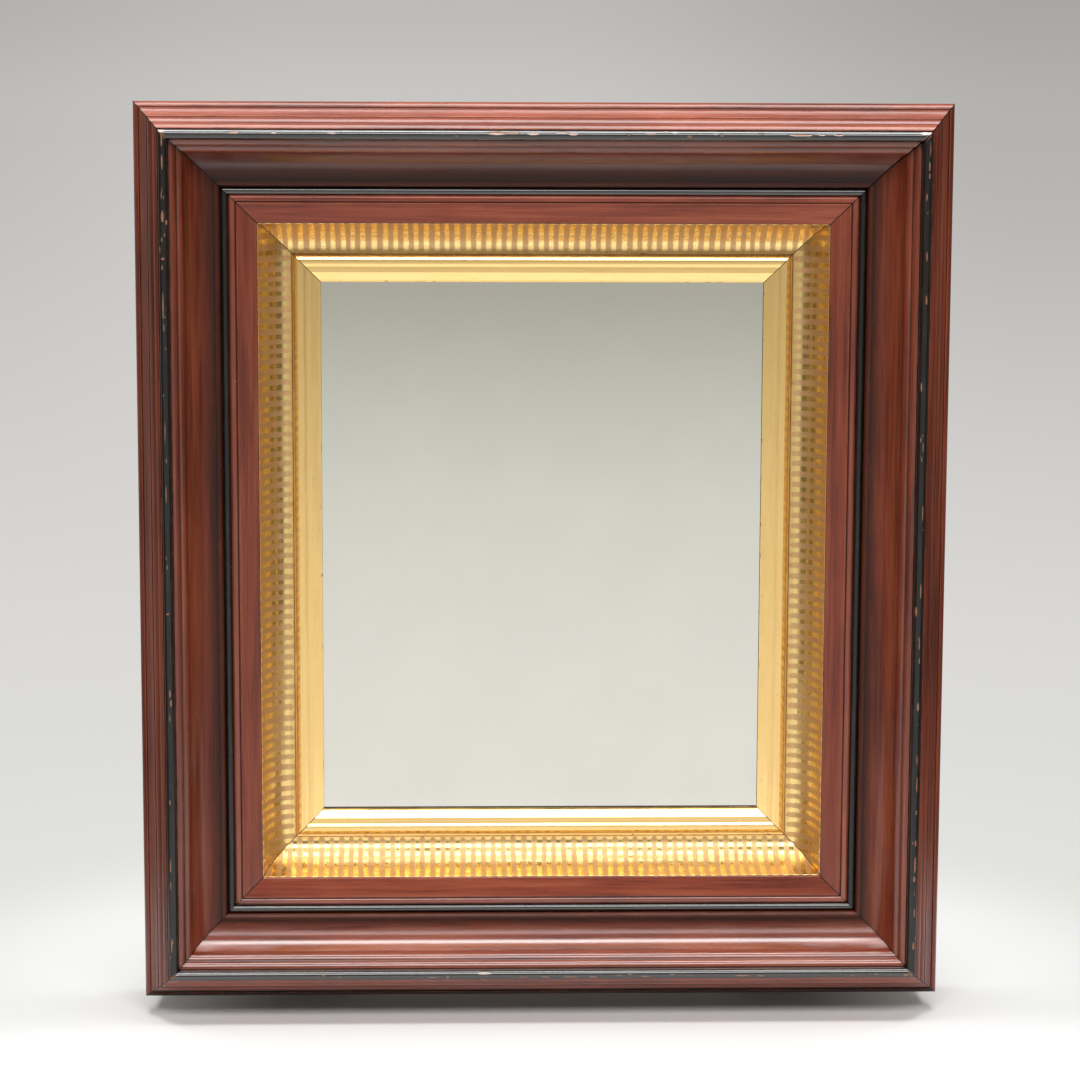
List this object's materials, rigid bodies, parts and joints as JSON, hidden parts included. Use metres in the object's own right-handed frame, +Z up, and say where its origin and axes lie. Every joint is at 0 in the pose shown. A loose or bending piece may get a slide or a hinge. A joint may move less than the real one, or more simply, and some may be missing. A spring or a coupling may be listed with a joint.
{
  "type": "wall mirror",
  "caption": "Rectangular deep-well wall mirror: reeded walnut frame with ebonised beads, striped gilt cove liner, gilt slip and silvered plate on a pine box, hung by rings.",
  "frame": {"origin": "on the wall plane, at the middle of the top box board's back face", "axes": "+X to the right along the wall, seen from the front; -Y out of the wall towards the viewer; +Z up"},
  "size_m": [0.4348, 0.074, 0.4856],
  "materials": {
    "walnut": "satin, waxed red-brown",
    "ebonised": "semi-gloss black, chipped to bare wood",
    "gilt": "burnished gold leaf over gesso, with matt stripes",
    "gilt_plain": "burnished gold leaf over gesso",
    "pine": "bare, aged",
    "glass": "polished",
    "silver": "mirror",
    "brass": "tarnished",
    "iron": "dull"
  },
  "bodies": {
    "frame": {"outer_rail_top": "walnut", "outer_rail_bottom": "walnut", "outer_rail_left": "walnut", "outer_rail_right": "walnut", "outer_bead_top": "ebonised", "outer_bead_bottom": "ebonised", "outer_bead_left": "ebonised", "outer_bead_right": "ebonised", "inner_rail_top": "walnut", "inner_rail_bottom": "walnut", "inner_rail_left": "walnut", "inner_rail_right": "walnut", "inner_bead_top": "ebonised", "inner_bead_bottom": "ebonised", "inner_bead_left": "ebonised", "inner_bead_right": "ebonised", "gilt_cove_top": "gilt", "gilt_cove_bottom": "gilt", "gilt_cove_left": "gilt", "gilt_cove_right": "gilt", "gilt_slip_top": "gilt_plain", "gilt_slip_bottom": "gilt_plain", "gilt_slip_left": "gilt_plain", "gilt_slip_right": "gilt_plain", "mirror_glass": "glass", "silvering": "silver", "glazing_blocks": "pine", "box_board_top": "pine", "box_board_bottom": "pine", "box_board_left": "pine", "box_board_right": "pine", "corner_splines": "pine", "corner_blocks": "pine", "rail_blocks": "pine", "liner_blocks": "pine", "back_board_top": "pine", "back_board_middle": "pine", "back_board_bottom": "pine", "back_nails": "iron", "box_nails": "iron", "hanger_strap_left": "brass", "hanger_strap_right": "brass", "hanger_screws": "brass"},
    "ring_left": {"hanger_ring_left": "brass"},
    "ring_right": {"hanger_ring_right": "brass"}
  },
  "joints": [
    {"name": "ring_left_swing", "type": "hinge", "parent": "frame", "child": "ring_left", "pos_m": [-0.19165, -0.015, -0.1178], "axis": [0, -1, 0], "range_deg": [0, 175]},
    {"name": "ring_right_swing", "type": "hinge", "parent": "frame", "child": "ring_right", "pos_m": [0.19165, -0.015, -0.1178], "axis": [0, 1, 0], "range_deg": [0, 175]}
  ]
}
